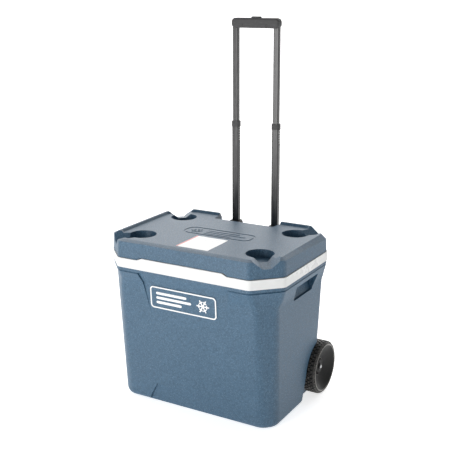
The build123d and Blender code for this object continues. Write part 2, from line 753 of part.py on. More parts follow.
with BuildPart() as handle_bracket_upper:
    add(bracket_block(398, 450, 90))
    for x in (-TUBE_X, TUBE_X):
        extrude(tube_face(440, x, (FIXED_TUBE[0] + 7, FIXED_TUBE[1] + 7), 6), amount=16)
    add(block((-120, 180, 380), (120, RIM_Y / 2 + 0.3, 470)), mode=Mode.SUBTRACT)
    add(block((-50, 190, 441), (50, 240, 470)), mode=Mode.SUBTRACT)
    add(block((-48, 205, 404), (48, 240, 436)), mode=Mode.SUBTRACT)
    for x in (-TUBE_X, TUBE_X):
        extrude(tube_face(390, x, FIXED_TUBE, 4), amount=FIXED_SPAN[1] - 390, mode=Mode.SUBTRACT)
        extrude(tube_face(450, x, (MIDDLE_TUBE[0] + 0.8, MIDDLE_TUBE[1] + 0.8), 3.6), amount=10,
                mode=Mode.SUBTRACT)
    for x, z in BRACKET_SCREWS_UP:
        add(back_hole(x, z, SCREW_R, 195, 20), mode=Mode.SUBTRACT)
    fillet(handle_bracket_upper.edges().filter_by(GeomType.LINE).filter_by(Axis.X)
           .group_by(Axis.Y)[-1].group_by(Axis.Z)[0], 3)
save(handle_bracket_upper, "handle_bracket_upper")

with BuildPart() as handle_bracket_lower:
    add(bracket_block(50, 86, 88))
    add(block((-48, 205, 56), (48, 240, 80)), mode=Mode.SUBTRACT)
    for x in (-TUBE_X, TUBE_X):
        extrude(tube_face(FIXED_SPAN[0] - 3, x, FIXED_TUBE, 4), amount=60, mode=Mode.SUBTRACT)
    for x, z in BRACKET_SCREWS_LOW:
        add(back_hole(x, z, SCREW_R, 190, 20), mode=Mode.SUBTRACT)
save(handle_bracket_lower, "handle_bracket_lower")

bracket_planes = [back_plane(x, 205, z) for x, z in BRACKET_SCREWS_UP + BRACKET_SCREWS_LOW]
screw_group("bracket_screws", bracket_planes, 14)


def tube(span, x, size, corner, holes=()):
    """Straight handle tube with through holes along X for its lock pins."""
    inner = shrink(size, TUBE_WALL)
    with BuildPart() as pipe:
        extrude(tube_face(span[0], x, size, corner), amount=span[1] - span[0])
        extrude(tube_face(span[0], x, inner, corner - 1), amount=span[1] - span[0], mode=Mode.SUBTRACT)
        for height, radius in holes:
            add(side_hole(x, TUBE_Y, height, radius, 20 if x > 0 else -20), mode=Mode.SUBTRACT)
    return pipe


MIDDLE_TRAVEL = 283.0
UPPER_TRAVEL = 264.0
LOWER_PIN_Z = MIDDLE_SPAN[0] + 8
UPPER_PIN_Z = UPPER_SPAN[0] + 8
PIN_R = 2.5

for name, side in SIDES.items():
    x = side * TUBE_X
    fixed_tube = tube(FIXED_SPAN, x, FIXED_TUBE, 4, [(LOWER_PIN_Z, 3), (LOWER_PIN_Z - MIDDLE_TRAVEL, 3)])
    save(fixed_tube, f"fixed_tube_{name}")
    middle_tube = tube(MIDDLE_SPAN, x, MIDDLE_TUBE, 3.5,
                       [(UPPER_PIN_Z, 3), (UPPER_PIN_Z - UPPER_TRAVEL, 3), (LOWER_PIN_Z, PIN_R + 0.05)])
    save(middle_tube, f"middle_tube_{name}")
    upper_tube = tube(UPPER_SPAN, x, UPPER_TUBE, 3, [(UPPER_PIN_Z, PIN_R + 0.05)])
    save(upper_tube, f"upper_tube_{name}")
    with BuildPart() as middle_collar:
        extrude(tube_face(MIDDLE_SPAN[1] - 13, x, (23.0, 18.4), 4.4), amount=16)
        extrude(tube_face(MIDDLE_SPAN[1] - 13, x, MIDDLE_TUBE, 3.5), amount=13, mode=Mode.SUBTRACT)
        extrude(tube_face(MIDDLE_SPAN[1] - 1, x, (UPPER_TUBE[0] + 0.7, UPPER_TUBE[1] + 0.7), 3.2), amount=6,
                mode=Mode.SUBTRACT)
    save(middle_collar, f"middle_collar_{name}")
    with BuildPart() as tube_plug:
        extrude(tube_face(FIXED_SPAN[0] - 3, x, FIXED_TUBE, 4), amount=3)
        extrude(tube_face(FIXED_SPAN[0], x, shrink(FIXED_TUBE, TUBE_WALL), 3), amount=8)
    save(tube_plug, f"tube_plug_{name}")


def pin_block(x, low, tube_size, corner):
    """Block in the foot of a moving tube that guides its lock pin."""
    inner = shrink(tube_size, TUBE_WALL)
    with BuildPart() as guide:
        extrude(tube_face(low, x, inner, corner), amount=15)
        add(side_hole(x, TUBE_Y, low + 8, PIN_R + 0.05, 20 if x > 0 else -20), mode=Mode.SUBTRACT)
        add(side_hole(x - 3 * math.copysign(1, x), TUBE_Y, low + 8, PIN_R + 0.05, math.copysign(20, x)),
            mode=Mode.SUBTRACT)
        with BuildSketch(Plane.XY.offset(low + 11)):
            with Locations((x, TUBE_Y)):
                Circle(2.6)
        extrude(amount=6, mode=Mode.SUBTRACT)
    return guide.part


for label, span, size, corner in (("lower_pin_blocks", MIDDLE_SPAN, MIDDLE_TUBE, 2.5),
                                  ("upper_pin_blocks", UPPER_SPAN, UPPER_TUBE, 2)):
    with BuildPart() as pin_blocks:
        for side in SIDES.values():
            add(pin_block(side * TUBE_X, span[0], size, corner))
    save(pin_blocks, label)

for label, height, size in (("lower_lock_pin", LOWER_PIN_Z, MIDDLE_TUBE), ("upper_lock_pin", UPPER_PIN_Z, UPPER_TUBE)):
    for name, side in SIDES.items():
        nose = size[0] / 2
        start = side * (TUBE_X + nose)
        with BuildPart() as lock_pin:
            add(side_hole(start, TUBE_Y, height, PIN_R, -side * nose))
            chamfer(lock_pin.faces().filter_by(Axis.X).edges(), 0.5)
        save(lock_pin, f"{label}_{name}")

# ---------------------------------------------------------------- grip, button and rods
BAR_LOW = 1039.5
BAR_TALL = 4.5
with BuildPart() as grip_form:
    with BuildSketch(Plane.XZ.offset(-TUBE_Y)):
        with Locations((0, (GRIP_LOW + GRIP_TOP) / 2)):
            RectangleRounded(2 * GRIP_HALF, GRIP_TOP - GRIP_LOW, 12)
    extrude(amount=GRIP_DEEP / 2, both=True)
    fillet(grip_form.faces().filter_by(Axis.Y).edges(), 6)
    for x in (-TUBE_X, TUBE_X):
        extrude(tube_face(GRIP_LOW - 1, x, UPPER_TUBE, 3), amount=UPPER_SPAN[1] - GRIP_LOW + 1,
                mode=Mode.SUBTRACT)
        extrude(tube_face(UPPER_SPAN[1] - 1, x, (13, 8), 2), amount=BAR_LOW + BAR_TALL - UPPER_SPAN[1] + 1.4,
                mode=Mode.SUBTRACT)
    add(block((-TUBE_X - 4, TUBE_Y - 4, BAR_LOW - BUTTON_TRAVEL - 0.5),
              (TUBE_X + 4, TUBE_Y + 4, BAR_LOW + BAR_TALL + 0.4)), mode=Mode.SUBTRACT)
    extrude(tube_face(BAR_LOW, 0, (30.6, 15.6), 7), amount=20, mode=Mode.SUBTRACT)
    extrude(tube_face(1025, 0, (11, 11), 5.4), amount=20, mode=Mode.SUBTRACT)
    for x in (-38, 38):
        add(back_hole(x, 1028, 1.6, 190, 40), mode=Mode.SUBTRACT)
        add(back_hole(x, 1028, 3.4, TUBE_Y + 8, 20), mode=Mode.SUBTRACT)

for name, keep in (("front", Keep.BOTTOM), ("rear", Keep.TOP)):
    with BuildPart() as grip_half:
        add(grip_form.part)
        split(bisect_by=Plane(origin=(0, TUBE_Y, 0), z_dir=(0, 1, 0)), keep=keep)
    save(grip_half, f"grip_{name}")

with BuildPart() as grip_screws:
    for x in (-38, 38):
        add(back_hole(x, 1028, 3.3, TUBE_Y + 8, 2.4))
        add(back_hole(x, 1028, 1.5, TUBE_Y - 8, 17))
save(grip_screws, "grip_screws")

with BuildPart() as release_button:
    extrude(tube_face(BAR_LOW + BAR_TALL, 0, (30, 15), 6.8), amount=GRIP_TOP + 4 - BAR_LOW - BAR_TALL)
    fillet(release_button.faces().sort_by(Axis.Z)[-1].edges(), 2.5)
save(release_button, "release_button")

with BuildPart() as push_rods:
    add(block((-TUBE_X - 3.4, TUBE_Y - 3.4, BAR_LOW), (TUBE_X + 3.4, TUBE_Y + 3.4, BAR_LOW + BAR_TALL)))
    for x in (-TUBE_X, TUBE_X):
        with BuildSketch(Plane.XY.offset(UPPER_SPAN[0] + 16)):
            with Locations((x, TUBE_Y)):
                Circle(2)
        extrude(amount=BAR_LOW - UPPER_SPAN[0] - 15)
save(push_rods, "push_rods")

with BuildPart() as button_spring:
    coil = Helix(pitch=3.2, height=12.8, radius=3.6, center=(0, TUBE_Y, 1026))
    with BuildSketch(Plane(origin=coil @ 0, z_dir=coil % 0)):
        Circle(0.5)
    sweep(path=coil, is_frenet=True)
save(button_spring, "button_spring")

# ---------------------------------------------------------------- wheels
PLATE_THICK = 3.0
WHEEL_WIDE = WHEEL_OUT - WHEEL_IN
HUB_FACE = 23.0
RIB_COUNT = 6


def wheel_plane(side, out):
    """Plane across a wheel's axis: out is the distance from the cooler's middle."""
    return Plane(origin=(side * out, WHEEL_Y, WHEEL_R), x_dir=(0, side, 0), z_dir=(side, 0, 0))


def turned(side, points):
    """Ring turned about a wheel's axis; points are (distance along the axle, radius)."""
    plane = Plane(origin=(side * WHEEL_IN, WHEEL_Y, WHEEL_R), x_dir=(side, 0, 0), z_dir=(0, -side, 0))
    with BuildPart() as ring:
        with BuildSketch(plane):
            with BuildLine():
                Polyline(*points, close=True)
            make_face()
        revolve(axis=Axis((0, WHEEL_Y, WHEEL_R), (1, 0, 0)))
    return ring.part


for name, side in SIDES.items():
    with BuildPart() as wheel:
        add(turned(side, [(0, 69), (0, 73), (3, WHEEL_R), (38.5, WHEEL_R), (WHEEL_WIDE, 74), (WHEEL_WIDE, 70.5),
                          (19, 26), (19, 20), (HUB_FACE, 19), (HUB_FACE, 9), (1, 9), (1, 16), (13, 20),
                          (31, 66.5)]))
        with BuildSketch(wheel_plane(side, WHEEL_IN + 3)):
            with PolarLocations(42, RIB_COUNT):
                Rectangle(50, 4)
        extrude(amount=22)
        add(turned(side, [(22, 8), (22, 20), (19.2, 20.2), (19.2, 26.2), (WHEEL_WIDE, 70.7), (60, 109.5), (60, 8)]),
            mode=Mode.SUBTRACT)
        add(turned(side, [(HUB_FACE - 4, 9), (HUB_FACE - 4, 19.4), (HUB_FACE, 18.6), (HUB_FACE, 9)]))
        with BuildSketch(wheel_plane(side, WHEEL_IN - 1)):
            Circle(9)
        extrude(amount=60, mode=Mode.SUBTRACT)
        with BuildSketch(wheel_plane(side, WHEEL_IN - 1)):
            with PolarLocations(WHEEL_R + 1.4, 26):
                Rectangle(5, 6)
        extrude(amount=WHEEL_WIDE + 2, mode=Mode.SUBTRACT)
    save(wheel, f"wheel_{name}")
    with BuildPart() as hub_bush:
        with BuildSketch(wheel_plane(side, WHEEL_IN + 1)):
            Circle(9)
            Circle(AXLE_R + 0.06, mode=Mode.SUBTRACT)
        extrude(amount=HUB_FACE - 1)
    save(hub_bush, f"hub_bush_{name}")
    with BuildPart() as axle_plate:
        with BuildSketch(wheel_plane(side, WELL_WALL)):
            RectangleRounded(58, 58, 8)
            Circle(AXLE_R, mode=Mode.SUBTRACT)
            with Locations(*PLATE_SCREWS):
                Circle(SCREW_R, mode=Mode.SUBTRACT)
        extrude(amount=PLATE_THICK)
    save(axle_plate, f"axle_plate_{name}")
    with BuildPart() as axle:
        with BuildSketch(wheel_plane(side, WELL_WALL - 8)):
            Circle(AXLE_R)
        extrude(amount=WHEEL_IN + HUB_FACE + 5 - WELL_WALL + 8)
        chamfer(axle.faces().sort_by(Axis.X)[-1 if side > 0 else 0].edges(), 0.8)
    save(axle, f"axle_{name}")
    with BuildPart() as push_nut:
        with BuildSketch(wheel_plane(side, WHEEL_IN + HUB_FACE + 0.4)):
            Circle(11)
            Circle(AXLE_R, mode=Mode.SUBTRACT)
        extrude(amount=1.2)
        with BuildSketch(wheel_plane(side, WHEEL_IN + HUB_FACE + 1.6)):
            Circle(8)
            Circle(AXLE_R, mode=Mode.SUBTRACT)
        extrude(amount=1.8)
    save(push_nut, f"push_nut_{name}")

plate_planes = [Plane(origin=(side * (WELL_WALL + PLATE_THICK), WHEEL_Y + dy, WHEEL_R + dz),
                      x_dir=(0, side, 0), z_dir=(side, 0, 0))
                for side in SIDES.values() for dy, dz in PLATE_SCREWS]
screw_group("axle_plate_screws", plate_planes, 8)

with BuildPart() as thrust_washers:
    for side in SIDES.values():
        with BuildSketch(wheel_plane(side, WELL_WALL + PLATE_THICK)):
            Circle(10)
            Circle(AXLE_R, mode=Mode.SUBTRACT)
        extrude(amount=WHEEL_IN + 0.7 - WELL_WALL - PLATE_THICK)
save(thrust_washers, "thrust_washers")


# ---------------------------------------------------------------- drain
def drain_plane(out):
    """Plane across the drain's axis: out is the distance from the cooler's middle."""
    return Plane(origin=(-out, DRAIN_Y, DRAIN_Z), x_dir=(0, 1, 0), z_dir=(-1, 0, 0))


def drain_ring(out, length, outer, inner):
    """Round ring on the drain's axis."""
    with BuildPart() as ring:
        with BuildSketch(drain_plane(out)):
            Circle(outer)
            if inner:
                Circle(inner, mode=Mode.SUBTRACT)
        extrude(amount=length)
    return ring.part


SPOUT_END = 256.0
with BuildPart() as drain_spout:
    add(drain_ring(191, SPOUT_END - 191, 11, 8))
    add(drain_ring(DRAIN_PAD, 3, 20, 8))
save(drain_spout, "drain_spout")

with BuildPart() as drain_gasket:
    add(drain_ring(196.4, 2.2, 17, 11))
    add(tub_block(WALL, TUB_FLOOR + WALL, RIM_TOP), mode=Mode.INTERSECT)
save(drain_gasket, "drain_gasket")

with BuildPart() as drain_nut:
    with BuildSketch(drain_plane(192)):
        RegularPolygon(17, 6)
        Circle(11, mode=Mode.SUBTRACT)
    extrude(amount=4.4)
save(drain_nut, "drain_nut")

with BuildPart() as drain_seal:
    add(drain_ring(SPOUT_END, 1.6, 11, 0))
save(drain_seal, "drain_seal")

with BuildPart() as drain_cap:
    add(drain_ring(248.5, SPOUT_END + 5 - 248.5, 15, 11.5))
    add(drain_ring(SPOUT_END + 1.7, 3.3, 15, 0))
    with BuildSketch(drain_plane(250)):
        with PolarLocations(15.2, 12):
            Circle(1.3, mode=Mode.ADD)
    extrude(amount=9)
    add(drain_ring(240, SPOUT_END + 1.7 - 240, 11.5, 0), mode=Mode.SUBTRACT)
save(drain_cap, "drain_cap")
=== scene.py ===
import math

import bmesh
import bpy
from bpy.props import FloatProperty, FloatVectorProperty, IntProperty, PointerProperty
from mathutils import Matrix, Vector


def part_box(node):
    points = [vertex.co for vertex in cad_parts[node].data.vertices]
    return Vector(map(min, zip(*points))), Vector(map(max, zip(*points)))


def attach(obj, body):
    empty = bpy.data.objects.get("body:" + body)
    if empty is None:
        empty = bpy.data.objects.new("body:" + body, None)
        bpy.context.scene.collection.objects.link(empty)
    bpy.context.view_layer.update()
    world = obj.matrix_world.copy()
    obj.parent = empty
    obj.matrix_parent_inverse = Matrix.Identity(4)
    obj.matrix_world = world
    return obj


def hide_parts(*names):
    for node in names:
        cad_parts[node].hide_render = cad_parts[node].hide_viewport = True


bl_info = {
    "name": "Wheeled Cooler",
    "version": (1, 0, 0),
    "blender": (4, 5, 0),
    "location": "3D View > Sidebar > Cooler",
    "description": "Finishes and detailed pieces of an insulated cooler on wheels with a pull handle",
    "category": "Add Mesh",
}

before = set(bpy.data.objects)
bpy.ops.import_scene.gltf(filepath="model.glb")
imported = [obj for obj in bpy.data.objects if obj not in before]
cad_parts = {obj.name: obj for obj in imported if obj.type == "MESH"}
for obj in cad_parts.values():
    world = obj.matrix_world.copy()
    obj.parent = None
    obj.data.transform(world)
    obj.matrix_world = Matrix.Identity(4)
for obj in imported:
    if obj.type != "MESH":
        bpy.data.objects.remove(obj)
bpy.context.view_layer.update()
AXLE_Y = sum(corner[1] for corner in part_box("wheel_right")) / 2
AXLE_Z = sum(corner[2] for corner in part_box("wheel_right")) / 2
WHEEL_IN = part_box("wheel_right")[0][0]
SIDES = {"left": -1, "right": 1}


# ---------------------------------------------------------------- settings
class CoolerFinish(bpy.types.PropertyGroup):
    """Colours and surface grain of the cooler."""

    shell_colour: FloatVectorProperty(
        name="Shell", description="Moulded colour of the tub and the lid", subtype="COLOR",
        size=4, min=0, max=1, default=(0.022, 0.078, 0.142, 1))
    fleck_colour: FloatVectorProperty(
        name="Flecks", description="Colour of the pale flecks in the moulded plastic", subtype="COLOR",
        size=4, min=0, max=1, default=(0.12, 0.20, 0.28, 1))
    liner_colour: FloatVectorProperty(
        name="Liner", description="White of the tub, rim and badge", subtype="COLOR",
        size=4, min=0, max=1, default=(0.70, 0.705, 0.70, 1))
    tube_colour: FloatVectorProperty(
        name="Tube paint", description="Satin black of the handle tubes", subtype="COLOR",
        size=4, min=0, max=1, default=(0.010, 0.010, 0.0105, 1))
    wheel_colour: FloatVectorProperty(
        name="Wheel", description="Black of the moulded wheels", subtype="COLOR",
        size=4, min=0, max=1, default=(0.007, 0.007, 0.007, 1))
    stripe_colour: FloatVectorProperty(
        name="Label stripe", description="Pale stripe at the edge of the lid label", subtype="COLOR",
        size=4, min=0, max=1, default=(0.72, 0.27, 0.25, 1))
    pebble_size: FloatProperty(
        name="Pebble", description="Width of one pebble of the moulded grain", subtype="DISTANCE",
        unit="LENGTH", min=0.0003, max=0.01, default=0.0016)
    pebble_height: FloatProperty(
        name="Pebble height", description="Height of the moulded grain", subtype="DISTANCE",
        unit="LENGTH", min=0, max=0.001, default=0.00022)


class CoolerWheel(bpy.types.PropertyGroup):
    """Sizes of a wheel."""

    tread_radius: FloatProperty(
        name="Tread radius", description="Radius over the tread blocks", subtype="DISTANCE",
        unit="LENGTH", min=0.05, max=0.09, default=0.0765)
    block_height: FloatProperty(
        name="Block height", description="How far the tread blocks stand up", subtype="DISTANCE",
        unit="LENGTH", min=0.0005, max=0.004, default=0.0024)
    block_columns: IntProperty(
        name="Blocks around", description="Number of tread blocks round the wheel", min=12,
        max=80, default=38)
    turn_steps: IntProperty(
        name="Turning steps", description="Flats round the turned body", min=24, max=192, default=112)


class CoolerEdges(bpy.types.PropertyGroup):
    """Softness of the moulded edges."""

    shell_edge: FloatProperty(
        name="Moulded edge", description="Width of the rounding on the lid and the tub", subtype="DISTANCE",
        unit="LENGTH", min=0, max=0.004, default=0.0022)
    rim_edge: FloatProperty(
        name="Rim edge", description="Width of the rounding on the white rim", subtype="DISTANCE",
        unit="LENGTH", min=0, max=0.004, default=0.0012)


class CoolerStage(bpy.types.PropertyGroup):
    """Floor, light and camera."""

    floor_size: FloatProperty(
        name="Floor", description="Length of one side of the floor", subtype="DISTANCE", unit="LENGTH",
        min=2, max=400, default=240)
    floor_colour: FloatVectorProperty(
        name="Floor colour", description="Pale colour of the floor", subtype="COLOR",
        size=4, min=0, max=1, default=(0.93, 0.93, 0.93, 1))
    backdrop_strength: FloatProperty(
        name="Backdrop light", description="Brightness of the backdrop behind the cooler", min=0, max=5,
        default=2.9)
    room_strength: FloatProperty(
        name="Room light", description="Brightness of the room overhead and in front", min=0, max=5,
        default=0.3)
    floor_glow: FloatProperty(
        name="Floor glow", description="How brightly the lit table glows by itself", min=0, max=2,
        default=0.70)
    key_power: FloatProperty(
        name="Front light", description="Power of the large soft light in front", subtype="POWER",
        unit="POWER", min=0, max=2000, default=74)
    lens: FloatProperty(
        name="Lens", description="Focal length of the camera in millimetres", min=20, max=200, default=69.07)


# ---------------------------------------------------------------- mesh helpers
def only(piece):
    """Make a piece the only selected and the active object."""
    bpy.ops.object.select_all(action="DESELECT")
    piece.select_set(True)
    bpy.context.view_layer.objects.active = piece


def named(name):
    """Name the active object and its mesh."""
    piece = bpy.context.object
    piece.name = name
    piece.data.name = name
    return piece


def settle(piece):
    """Put a piece's place, turn and size into its mesh."""
    only(piece)
    bpy.ops.object.transform_apply(location=True, rotation=True, scale=True)


def apply_all(piece):
    """Apply every modifier of a piece in order."""
    only(piece)
    for modifier in list(piece.modifiers):
        bpy.ops.object.modifier_apply(modifier=modifier.name)


def clean_shell(piece):
    """Merge doubled points and turn the faces outward."""
    only(piece)
    bpy.ops.object.mode_set(mode="EDIT")
    bpy.ops.mesh.select_all(action="SELECT")
    bpy.ops.mesh.remove_doubles(threshold=0.00001)
    bpy.ops.mesh.normals_make_consistent(inside=False)
    bpy.ops.object.mode_set(mode="OBJECT")


def smooth(piece, angle=32):
    """Shade smooth, with the edges sharper than an angle kept crisp."""
    only(piece)
    bpy.ops.object.shade_smooth_by_angle(angle=math.radians(angle))


def joined(pieces):
    """Join several pieces into the first one."""
    bpy.ops.object.select_all(action="DESELECT")
    for piece in pieces:
        piece.select_set(True)
    bpy.context.view_layer.objects.active = pieces[0]
    bpy.ops.object.join()
    return bpy.context.object


def softened_block(place, size, edge, segments, tilt=0.0, lean=0.0):
    """Small block with its edges rounded, tilted in place and then leant round the axle."""
    bpy.ops.mesh.primitive_cube_add(size=1, location=place)
    block = bpy.context.object
    block.scale = size
    block.rotation_euler = (0, tilt, 0)
    settle(block)
    bpy.ops.object.mode_set(mode="EDIT")
    bpy.ops.mesh.select_all(action="SELECT")
    bpy.ops.mesh.bevel(offset=edge, segments=segments, affect="EDGES")
    if lean:
        bpy.ops.mesh.select_all(action="SELECT")
        bpy.ops.transform.rotate(value=lean, orient_axis="X", orient_type="GLOBAL",
                                 center_override=(0, AXLE_Y, AXLE_Z))
    bpy.ops.object.mode_set(mode="OBJECT")
    return block


def finish_with(piece, material):
    """Give a piece one material all over."""
    piece.data.materials.clear()
    piece.data.materials.append(material)


EDGE_SEGMENTS = 2
EDGE_ANGLE = math.radians(28)  # edges flatter than this stay as they are
COPY_SMOOTHING = 40  # degrees


def softened_copy(node, name, width):
    """Copy of a CAD node with its crisp edges rounded."""
    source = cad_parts[node]
    piece = bpy.data.objects.new(name, source.data.copy())
    piece.data.name = name
    bpy.context.collection.objects.link(piece)
    only(piece)
    bpy.ops.object.mode_set(mode="EDIT")
    bpy.ops.mesh.select_all(action="SELECT")
    bpy.ops.mesh.remove_doubles(threshold=0.00002)
    bpy.ops.mesh.dissolve_limited(angle_limit=math.radians(0.4))
    bpy.ops.object.mode_set(mode="OBJECT")
    rounding = piece.modifiers.new("edge_rounding", "BEVEL")
    rounding.width = width
    rounding.segments = EDGE_SEGMENTS
    rounding.limit_method = "ANGLE"
    rounding.angle_limit = EDGE_ANGLE
    rounding.use_clamp_overlap = True
    apply_all(piece)
    smooth(piece, COPY_SMOOTHING)
    weighting = piece.modifiers.new("flat_face_weighting", "WEIGHTED_NORMAL")
    weighting.weight = 100
    weighting.keep_sharp = True
    apply_all(piece)
    return piece


# ---------------------------------------------------------------- material helpers
class Finish:
    """A node material under construction."""

    def __init__(self, name, colour, roughness, metallic=0.0, specular=0.5):
        self.material = bpy.data.materials.new(name)
        self.material.use_nodes = True
        self.tree = self.material.node_tree
        self.shader = self.tree.nodes["Principled BSDF"]
        self.shader.inputs["Base Color"].default_value = colour
        self.shader.inputs["Roughness"].default_value = roughness
        self.shader.inputs["Metallic"].default_value = metallic
        self.shader.inputs["Specular IOR Level"].default_value = specular
        self.place = self.add("ShaderNodeTexCoord").outputs["Object"]

    def add(self, kind, **inputs):
        """Add a node; inputs are set or linked by name."""
        node = self.tree.nodes.new(kind)
        for socket, value in inputs.items():
            self.feed(node, socket.replace("_", " "), value)
        return node

    def feed(self, node, socket, value):
        """Set an input, or link it when the value is another node's output."""
        if isinstance(value, bpy.types.NodeSocket):
            self.tree.links.new(value, node.inputs[socket])
        else:
            node.inputs[socket].default_value = value

    def grain(self, scale, detail=2.0, stretch=(1, 1, 1), rough=0.5):
        """Noise over the object's own coordinates."""
        mapping = self.add("ShaderNodeMapping", Vector=self.place, Scale=stretch)
        noise = self.add("ShaderNodeTexNoise", Vector=mapping.outputs["Vector"], Scale=scale, Detail=detail,
                         Roughness=rough)
        return noise.outputs["Fac"]

    def spread(self, value, low, high, to_low, to_high):
        """Map a range of values onto another."""
        node = self.add("ShaderNodeMapRange", Value=value)
        node.inputs["From Min"].default_value = low
        node.inputs["From Max"].default_value = high
        node.inputs["To Min"].default_value = to_low
        node.inputs["To Max"].default_value = to_high
        return node.outputs["Result"]

    def blend(self, share, first, second):
        """Mix two colours."""
        node = self.tree.nodes.new("ShaderNodeMix")
        node.data_type = "RGBA"
        sockets = [s for s in node.inputs if s.type == "RGBA"]
        for socket, value in ((node.inputs[0], share), (sockets[0], first), (sockets[1], second)):
            if isinstance(value, bpy.types.NodeSocket):
                self.tree.links.new(value, socket)
            else:
                socket.default_value = value
        return [s for s in node.outputs if s.type == "RGBA"][0]

    def sum(self, operation, *values):
        """A math node of one or two values."""
        node = self.tree.nodes.new("ShaderNodeMath")
        node.operation = operation
        for socket, value in zip(node.inputs, values):
            if isinstance(value, bpy.types.NodeSocket):
                self.tree.links.new(value, socket)
            else:
                socket.default_value = value
        return node.outputs[0]

    def axes(self):
        """The three coordinates of a point."""
        split = self.add("ShaderNodeSeparateXYZ", Vector=self.place)
        return split.outputs["X"], split.outputs["Y"], split.outputs["Z"]

    def between(self, value, low, high):
        """One where a value lies between two bounds."""
        return self.sum("MULTIPLY", self.sum("GREATER_THAN", value, low), self.sum("LESS_THAN", value, high))

    def bump(self, height, distance, strength=1.0, below=None):
        """Raise the surface by a height field."""
        node = self.add("ShaderNodeBump", Height=height, Distance=distance, Strength=strength)
        if below is not None:
            self.feed(node, "Normal", below)
        self.tree.links.new(node.outputs["Normal"], self.shader.inputs["Normal"])
        return node.outputs["Normal"]

    def colour(self, value):
        """Set or link the base colour."""
        self.feed(self.shader, "Base Color", value)

    def roughness(self, value):
        """Set or link the roughness."""
        self.feed(self.shader, "Roughness", value)


def mixed(colour, other, share):
    """Colour part of the way to another."""
    return tuple(a + (b - a) * share for a, b in zip(colour, other))


BLACK = (0.0, 0.0, 0.0, 1.0)
WHITE = (1.0, 1.0, 1.0, 1.0)


def pebbled_plastic(name, colour, fleck, settings):
    """Blow moulded plastic with a pebbled skin and pale flecks."""
    finish = Finish(name, colour, 0.5, specular=0.5)
    size = settings.pebble_size
    pebbles = finish.grain(1 / size, detail=1.5)
    drift = finish.grain(9.0, detail=3)
    clouds = finish.grain(0.3 / size, detail=2)
    cells = finish.add("ShaderNodeTexVoronoi", Vector=finish.place, Scale=0.42 / size)
    flecks = finish.spread(cells.outputs["Distance"], 0.10, 0.30, 0.95, 0.0)
    body = finish.blend(finish.spread(clouds, 0.36, 0.64, 0, 1), mixed(colour, BLACK, 0.26),
                        mixed(colour, fleck, 0.2))
    body = finish.blend(finish.spread(pebbles, 0.40, 0.62, 0, 0.5), body, mixed(colour, fleck, 0.45))
    body = finish.blend(finish.spread(drift, 0.35, 0.65, 0, 0.14), body, mixed(colour, BLACK, 0.3))
    finish.colour(finish.blend(flecks, body, fleck))
    finish.roughness(finish.spread(clouds, 0.3, 0.7, 0.43, 0.56))
    finish.bump(pebbles, settings.pebble_height, 1.0)
    return finish.material


def smooth_plastic(name, colour, roughness=0.3):
    """Smooth moulded plastic with faint flow marks."""
    finish = Finish(name, colour, roughness)
    waves = finish.grain(28, detail=3)
    fine = finish.grain(900, detail=1)
    finish.colour(finish.blend(finish.spread(waves, 0.35, 0.65, 0, 1), colour, mixed(colour, BLACK, 0.05)))
    finish.roughness(finish.spread(waves, 0.3, 0.7, roughness - 0.05, roughness + 0.08))
    finish.bump(fine, 0.00006, 0.5)
    return finish.material


def grained_plastic(name, colour, roughness=0.55, size=0.0009):
    """Black moulded plastic with a fine spark grain and scuffs."""
    finish = Finish(name, colour, roughness)
    grain = finish.grain(1 / size, detail=2)
    scuffs = finish.grain(60, detail=5, stretch=(1, 1, 3.5))
    finish.colour(finish.blend(finish.spread(scuffs, 0.5, 0.72, 0, 0.5), colour, mixed(colour, WHITE, 0.06)))
    finish.roughness(finish.spread(scuffs, 0.3, 0.7, roughness - 0.06, roughness + 0.1))
    finish.bump(grain, 0.00012, 0.7)
    return finish.material


def tube_paint(name, colour, rack_low=None, rack_high=None):
    """Satin black paint drawn along the tube, with painted shade: a darker, sunken patch on the side faces where
    the ridges sit.
    """
    finish = Finish(name, colour, 0.24, specular=0.42)
    finish.shader.inputs["Coat Weight"].default_value = 0.12
    finish.shader.inputs["Coat Roughness"].default_value = 0.16
    draw = finish.grain(420, detail=3, stretch=(1, 1, 0.03))
    cloud = finish.grain(30, detail=3)
    paint = finish.blend(finish.spread(draw, 0.3, 0.7, 0, 1), colour, mixed(colour, WHITE, 0.025))
    paint = finish.blend(finish.spread(cloud, 0.4, 0.7, 0, 0.4), paint, mixed(colour, WHITE, 0.02))
    finish.roughness(finish.spread(draw, 0.3, 0.7, 0.2, 0.3))
    height = draw
    if rack_low is not None:
        x, y, z = finish.axes()
        # Painted shade: a darker patch, also sunk by the bump, on both side faces of the tube round the ridges.
        middle = finish.between(y, 0.2055, 0.2185)
        face = finish.sum("MULTIPLY", finish.between(z, rack_low, rack_high), middle)
        outer = finish.sum("GREATER_THAN", finish.sum("ABSOLUTE", finish.sum("SUBTRACT",
                           finish.sum("ABSOLUTE", x), 0.065)), 0.0098)
        marks = finish.sum("MULTIPLY", face, outer)
        paint = finish.blend(marks, paint, (0.004, 0.004, 0.004, 1))
        height = finish.sum("SUBTRACT", draw, finish.sum("MULTIPLY", marks, 8))
    finish.colour(paint)
    finish.bump(height, 0.00005, 0.6)
    return finish.material


def zinc(name, colour=(0.56, 0.57, 0.58, 1), roughness=0.34):
    """Zinc plated steel with a fine turning grain."""
    finish = Finish(name, colour, roughness, metallic=1.0)
    spangle = finish.grain(180, detail=3)
    fine = finish.grain(1600, detail=1)
    finish.colour(finish.blend(finish.spread(spangle, 0.35, 0.65, 0, 1), colour, mixed(colour, BLACK, 0.22)))
    finish.roughness(finish.spread(spangle, 0.3, 0.7, roughness - 0.06, roughness + 0.12))
    finish.bump(fine, 0.00003, 0.6)
    return finish.material


